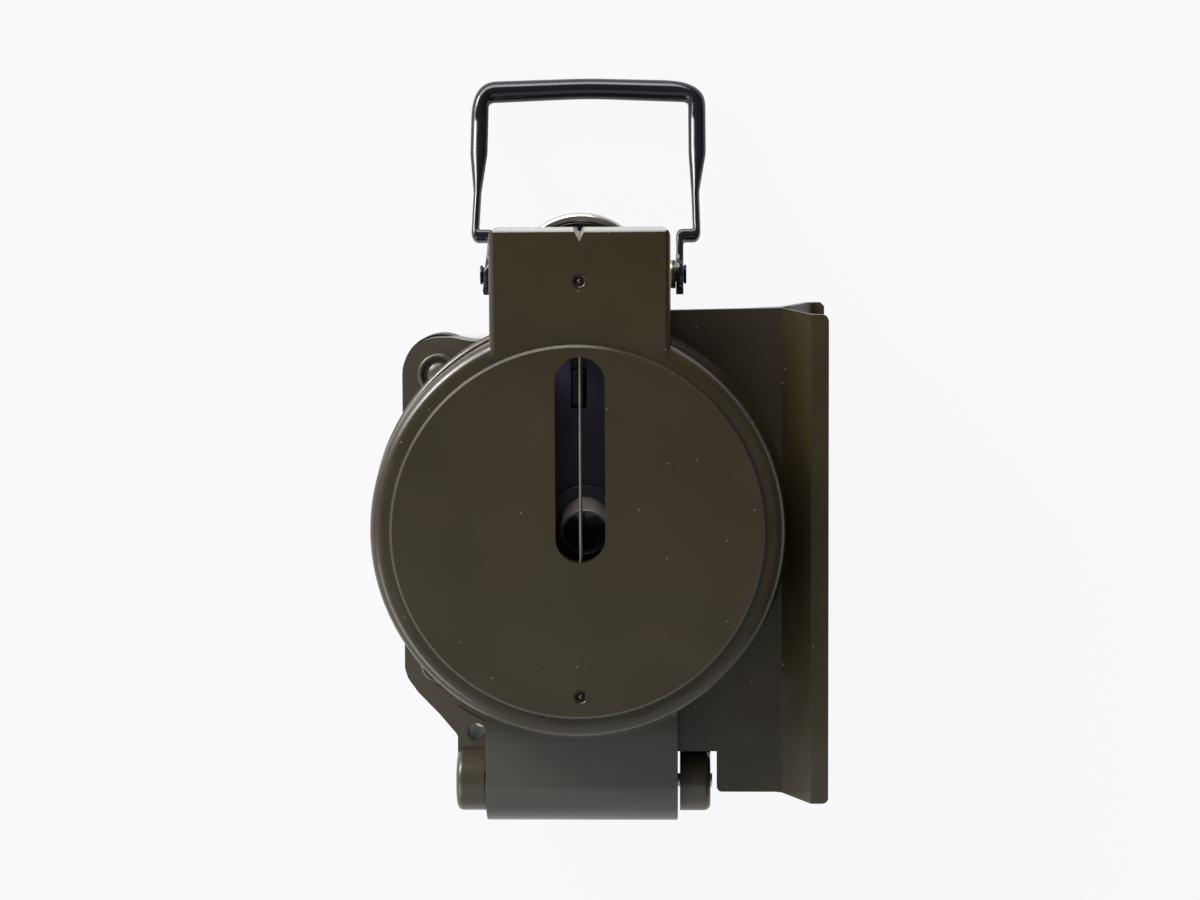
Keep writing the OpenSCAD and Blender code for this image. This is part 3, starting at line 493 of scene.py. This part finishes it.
PALE = moulding("luminous_paint", (0.55, 0.62, 0.40), 0.6, 0.2)
paint_node("bezel_ring", BLACK_PAN)
paint_node("bezel_crystal", CLEAR)
paint_node("marching_line", PALE)
paint_node("bezel_snap_ring", STEEL)
paint_node("click_spring", BRASS)
paint_node("index_mark", PALE)


# Cover
# The lid is one casting: round cup, raised face, rear tab, hinge barrel and
# upper ruler flange, in the same satin enamel as the base.

BARE = bright_metal("bare_alloy", (0.48, 0.47, 0.45), 0.5, 0.3)
# Painted highlight: pale grey on the tab's rear lip, where its rounded edge catches the rear soft box.
LIP_HIGHLIGHT_GREY = enamel("lip_painted_highlight", (0.34, 0.335, 0.30), 0.35, 1.5, 0.3, 0.0)
# Painted sheen: grey laid into the lid's enamel towards the hinge barrel, in place of the light it reflects
# there.
HINGE_SHEEN_GREY = (0.088, 0.086, 0.079)
SHEEN_START, SHEEN_FULL, SHEEN_SHARE = -25.0, -30.0, 0.62       # mm towards the hinge
PLATE_SIDE, PAST_SIDE, SHARE_PAST = 13.0, 16.5, 0.25            # mm from the hinge plate to the flange


def painted_hinge_sheen(paint, name):
    """The same enamel with a grey painted sheen laid in towards the hinge, less on the flange."""
    mixed = paint.copy()
    mixed.name = name
    tree = mixed.node_tree
    colour = tree.nodes["Principled BSDF"].inputs["Base Color"]
    spot = place_on(tree)
    sheen_share = graded(tree, spot["Y"], SHEEN_START * MM, SHEEN_FULL * MM, 0, SHEEN_SHARE, "SMOOTHSTEP")
    middle = graded(tree, spot["X"], PLATE_SIDE * MM, PAST_SIDE * MM, 1, SHARE_PAST)
    share = maths(tree, "MULTIPLY", sheen_share, middle)
    tree.links.new(coated(tree, colour.links[0].from_socket, HINGE_SHEEN_GREY, share), colour)
    return mixed


NOTCH_HALF, NOTCH_START, NOTCH_FLOOR = 1.3, 37.6, 24.7          # mm
LIP_START, LIP_FLOOR = 38.8, 26.2


def notch_metal_and_lip_highlight(centre, normal):
    """Bare metal in the notch, and a pale grey painted highlight along the tab's rear lip."""
    in_notch = abs(centre.x) < NOTCH_HALF and centre.y > NOTCH_START and centre.z > NOTCH_FLOOR
    if in_notch and 0.05 < normal.z < 0.99 and abs(normal.x) > 0.25:
        return 1
    on_lip = centre.y > LIP_START and centre.z > LIP_FLOOR
    return 2 if on_lip and normal.z < 0.985 and normal.y > 0.1 else 0


# The flange's front corner by the hinge, then the two ends of the ruler strip.
LID_CORNERS = [(17.8, -36.2, 0.7), (32.5, -36.3, 0.35), (32.0, -36.7, 0.35),
               (32.5, 27.6, 0.45), (32.0, 28.1, 0.45)]
# The lid's enamel carries a painted grey sheen towards the hinge.
paint_node("cover_shell", painted_hinge_sheen(OLIVE, "cover_enamel"))
softened("cover_shell", "cover", 0.28, corners=LID_CORNERS, other=[BARE, LIP_HIGHLIGHT_GREY], pick=notch_metal_and_lip_highlight)

DULL_WIRE = bright_metal("dull_wire", (0.30, 0.27, 0.23), 0.42, 0.1)
paint_node("sighting_wire", DULL_WIRE)

AROUND = 40


def lathe(name, profile, place, material, body):
    """Turned piece: profile of (radius, height) in mm about an upright axis."""
    grid = bmesh.new()
    rows = []
    for radius, height in profile:
        angles = [2 * math.pi * k / AROUND for k in range(AROUND if radius else 1)]
        rows.append([grid.verts.new(((place[0] + radius * math.cos(a)) * MM,
                                     (place[1] + radius * math.sin(a)) * MM,
                                     (place[2] + height) * MM)) for a in angles])
    for one, two in zip(rows, rows[1:]):
        for k in range(AROUND):
            corner = [one[k % len(one)], one[(k + 1) % len(one)], two[(k + 1) % len(two)], two[k % len(two)]]
            grid.faces.new(list(dict.fromkeys(corner)))
    bmesh.ops.recalc_face_normals(grid, faces=grid.faces)
    for face in grid.faces:
        face.smooth = True
    mesh = bpy.data.meshes.new(name)
    grid.to_mesh(mesh)
    grid.free()
    mesh.materials.append(material)
    return carried(name, mesh, body)


DIMPLE = [(0, -0.12), (0.16, -0.15), (0.3, -0.26), (0.4, -0.46), (0.5, -0.52), (0.58, -0.46),
          (0.7, -0.2), (0.8, -0.08), (0.88, -0.06), (0.93, -0.14), (0.93, -0.7), (0, -0.7)]
# The dimples get a darker olive than the lid, painted shade in the pits.
PIT_SHADED_OLIVE = enamel("pit_enamel_painted_shade", (0.026, 0.021, 0.013), 0.22, 1.54, 0.1, 0.0)
paint_node("luminous_dots", PIT_SHADED_OLIVE)
dots = [lathe("rear_dot", DIMPLE, (0, 32.7, 27.2), PIT_SHADED_OLIVE, "cover"),
        lathe("front_dot", DIMPLE, (0, -21.6, 28.0), PIT_SHADED_OLIVE, "cover")]
for dot in dots:
    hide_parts("luminous_dots")


# Hinge pin
# A plain steel pin, pushed through the base's two arms and the lid's barrel;
# only its right end shows.

paint_node("hinge_pin", STEEL)


# Eyepiece
# A black enamelled brass bracket with a nickelled magnifier ring and a small
# leaning nickel barrel that holds a lens, painted near-black as shade, with a painted blue reflection on its
# flange.

BRACKET = enamel("bracket_enamel", (0.048, 0.038, 0.072), 0.5, 1.4, 0.3, 0.0)
NICKEL = bright_metal("bright_nickel", (0.60, 0.54, 0.50), 0.24, 0.15)
# Painted shade: the sight lens is an opaque near-black instead of clear glass.
LENS_PAINTED_DARK = moulding("lens_painted_shade", (0.010, 0.010, 0.020), 0.1, 0.0)
# Painted reflection: the flange's nickel is tinted blue.
NICKEL_PAINTED_BLUE = bright_metal("nickel_painted_blue_reflection", (0.62, 0.60, 0.72), 0.6, 0.2)
DULL_NICKEL = bright_metal("dull_nickel", (0.76, 0.66, 0.61), 0.6, 0.3)
INSIDE_BLACK = moulding("inside_black", (0.018, 0.016, 0.028), 0.35, 0.2)
LEAN = math.radians(16)
BARREL_FOOT = Vector((0.45, 0.5, 19.5))
BARREL_AXIS = Vector((0, -math.sin(LEAN), math.cos(LEAN)))
RIM_REACH, WALL_REACH = 3.22, 3.3       # mm from the barrel's axis


def barrel_part(centre, normal):
    """Flange nickel with a painted blue reflection, tube wall dull, rim and inside blackened."""
    off = centre - BARREL_FOOT
    reach = (off - BARREL_AXIS * off.dot(BARREL_AXIS)).length
    return 2 if reach < RIM_REACH else 1 if reach < WALL_REACH else 0


paint_node("sight_bracket", BRACKET)
paint_node("magnifier_ring", NICKEL)
paint_node("magnifier_lens", CLEAR)
paint_node("sight_barrel", NICKEL_PAINTED_BLUE)
paint_node("sight_lens", LENS_PAINTED_DARK)
softened("sight_bracket", "eyepiece", 0.15)
softened("magnifier_ring", "eyepiece", 0.15)
softened("sight_barrel", "eyepiece", 0.06, other=[DULL_NICKEL, INSIDE_BLACK], pick=barrel_part)


# Rear pin and washers
# A short pin, dipped in gloss black enamel, carries the loop and the eyepiece
# between the rear lugs; its brass washers are painted black where they stand out, a painted shade.

BLACK_GLOSS = enamel("black_gloss", (0.009, 0.008, 0.012), 0.13, 1.5, 0.05, 0.0)
paint_node("rear_pin", BLACK_GLOSS)
softened("rear_pin", "base", 0.15)

# Painted shade: black laid over the washers beyond this distance from the middle of the case.
WASHER_SHADE = (0.01, 0.01, 0.012)
SHADE_EDGE, SHADE_FADE = 0.01192, 0.00004       # metres from the middle of the case


def shaded_outer_brass(metal, name):
    """Brass painted black away from the middle of the case, as painted shade."""
    mixed = metal.copy()
    mixed.name = name
    tree = mixed.node_tree
    shader = tree.nodes["Principled BSDF"]
    colour = shader.inputs["Base Color"]
    off = maths(tree, "ABSOLUTE", place_on(tree)["X"])
    black = graded(tree, off, SHADE_EDGE - SHADE_FADE, SHADE_EDGE + SHADE_FADE)
    tree.links.new(coated(tree, colour.links[0].from_socket, WASHER_SHADE, black), colour)
    tree.links.new(maths(tree, "SUBTRACT", 1, black), shader.inputs["Metallic"])
    return mixed


paint_node("loop_washers", shaded_outer_brass(BRASS, "brass_painted_shade"))


# Thumb loop
# It is formed from rod: flattened upright feet on the pin, a jog, arms
# hammered to a ridge, and a round bar, all dipped in gloss black enamel.

PIN_Y, PIN_Z = 33.2, 12.0
DROP = math.radians(22)

# Right half of the rod's two outlines, in mm from the pin: across, out along
# the loop, and how far the bend there reaches before and after the corner.
OUTSIDE = [(13.45, -2.5), (13.45, 4.75, 0.4), (15.8, 4.75, 1.5), (15.6, 11.9, 6),
           (16.5, 17.5, 8), (16.45, 28.1, 3.6, 6.2), (0.3, 28.55, 80)]
INSIDE = [(12.45, -2.5), (12.45, 6.3, 1.2), (14.7, 6.3, 0.4), (14.5, 11.9, 6),
          (14.15, 17.5, 8), (14.1, 25.15, 0.8), (0.3, 25.75, 80)]
JOG_START, ARM_START = 3, 14            # mm out along the loop
JOG_SHIFT, ARM_SHIFT = 0.6, 0.95        # mm that the left half stands further right

# Points on each straight run, and steps on each bend between two runs.
RUNS = [10, 3, 10, 10, 14, 12, 12, 14, 10, 10, 3, 10]
BEND_STEPS, BEND_MOST = 12, 0.48

# Thickness of the rod and fullness of its section, out along the loop.
DEPTH = [(3.2, 2.6), (5, 2.2), (7, 1.9), (12, 1.7), (18, 1.7), (22.6, 1.8), (24.2, 2.4),
         (25.4, 2.76), (26, 2.76)]
SHAPE = [(4, 7.0), (6, 2.6), (10, 2.2), (14, 1.8), (22.6, 1.85), (24.4, 1.95), (25.4, 2.0)]
FOOT_END, FOOT_ROUND = 3.2, 2.1
FOOT_OUT, FOOT_IN = 2.6, 2.1            # least thickness of the foot beyond and short of the pin
AROUND_ROD = 28


def both_sides(half):
    """The right half of an outline and its mirror image, whose upper part stands further right."""
    shift = [0 if y < JOG_START else JOG_SHIFT if y < ARM_START else ARM_SHIFT for _, y, *_ in half]
    other = [(step - x, y, *r) for step, (x, y, *r) in zip(shift, half)]
    return half + other[-2::-1]


def paired_points(corners, runs):
    """Fixed numbers of points on the runs and on the bends between them."""
    bends = []
    for before, here, after in zip(corners, corners[1:], corners[2:]):
        p, q, t = Vector(before[:2]), Vector(here[:2]), Vector(after[:2])
        inward, outward = (p - q).normalized(), (t - q).normalized()
        half = inward.angle(outward) / 2
        come = inward * min(here[2] / math.tan(half), BEND_MOST * (p - q).length)
        leave = outward * min(here[-1] / math.tan(half), BEND_MOST * (t - q).length)
        steps = [k / BEND_STEPS for k in range(BEND_STEPS + 1)]
        bends.append([(q + come).lerp(q, s).lerp(q.lerp(q + leave, s), s) for s in steps])
    points = []
    stop = Vector(corners[0][:2])
    for bend, count in zip(bends + [[Vector(corners[-1][:2])]], runs):
        points += [stop.lerp(bend[0], k / count) for k in range(count)] + bend[:-1]
        stop = bend[-1]
    return points + [stop]


def along(table, at):
    """Value read from pairs of place and value."""
    for (a, va), (b, vb) in zip(table, table[1:]):
        if at <= b:
            return va + (vb - va) * max(0.0, min(1.0, (at - a) / (b - a)))
    return table[-1][1]


def loop_depth(y):
    """Thickness of the rod: round feet, then what the table says."""
    if y >= FOOT_END:
        return along(DEPTH, y)
    return max(2 * math.sqrt(max(0.0, FOOT_ROUND ** 2 - y ** 2)), FOOT_OUT if y > 0 else FOOT_IN)


def squashed(value, power):
    """Sine or cosine made fuller or leaner."""
    return math.copysign(abs(value) ** (2 / power), value)


grid = bmesh.new()
rings = []
for out, inn in zip(paired_points(both_sides(OUTSIDE), RUNS), paired_points(both_sides(INSIDE), RUNS)):
    middle, reach = (out + inn) / 2, (out - inn) / 2
    depth, power = loop_depth(middle.y) / 2, along(SHAPE, middle.y)
    ring = []
    for k in range(AROUND_ROD):
        a = 2 * math.pi * k / AROUND_ROD
        x, y = middle + reach * squashed(math.cos(a), power)
        v = squashed(math.sin(a), power) * depth
        ring.append(grid.verts.new((
            x * MM,
            (PIN_Y + y * math.cos(DROP) + v * math.sin(DROP)) * MM,
            (PIN_Z - y * math.sin(DROP) + v * math.cos(DROP)) * MM)))
    rings.append(ring)
for one, two in zip(rings, rings[1:]):
    for k in range(AROUND_ROD):
        grid.faces.new((one[k], one[(k + 1) % AROUND_ROD], two[(k + 1) % AROUND_ROD], two[k]))
grid.faces.new(rings[0])
grid.faces.new(rings[-1])
bmesh.ops.recalc_face_normals(grid, faces=grid.faces)
for face in grid.faces:
    face.smooth = len(face.verts) == 4
loop_mesh = bpy.data.meshes.new("loop_rod")
grid.to_mesh(loop_mesh)
grid.free()
loop_mesh.materials.append(BLACK_GLOSS)
paint_node("thumb_loop", BLACK_GLOSS)
loop_rod = carried("loop_rod", loop_mesh, "loop")
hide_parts("thumb_loop")
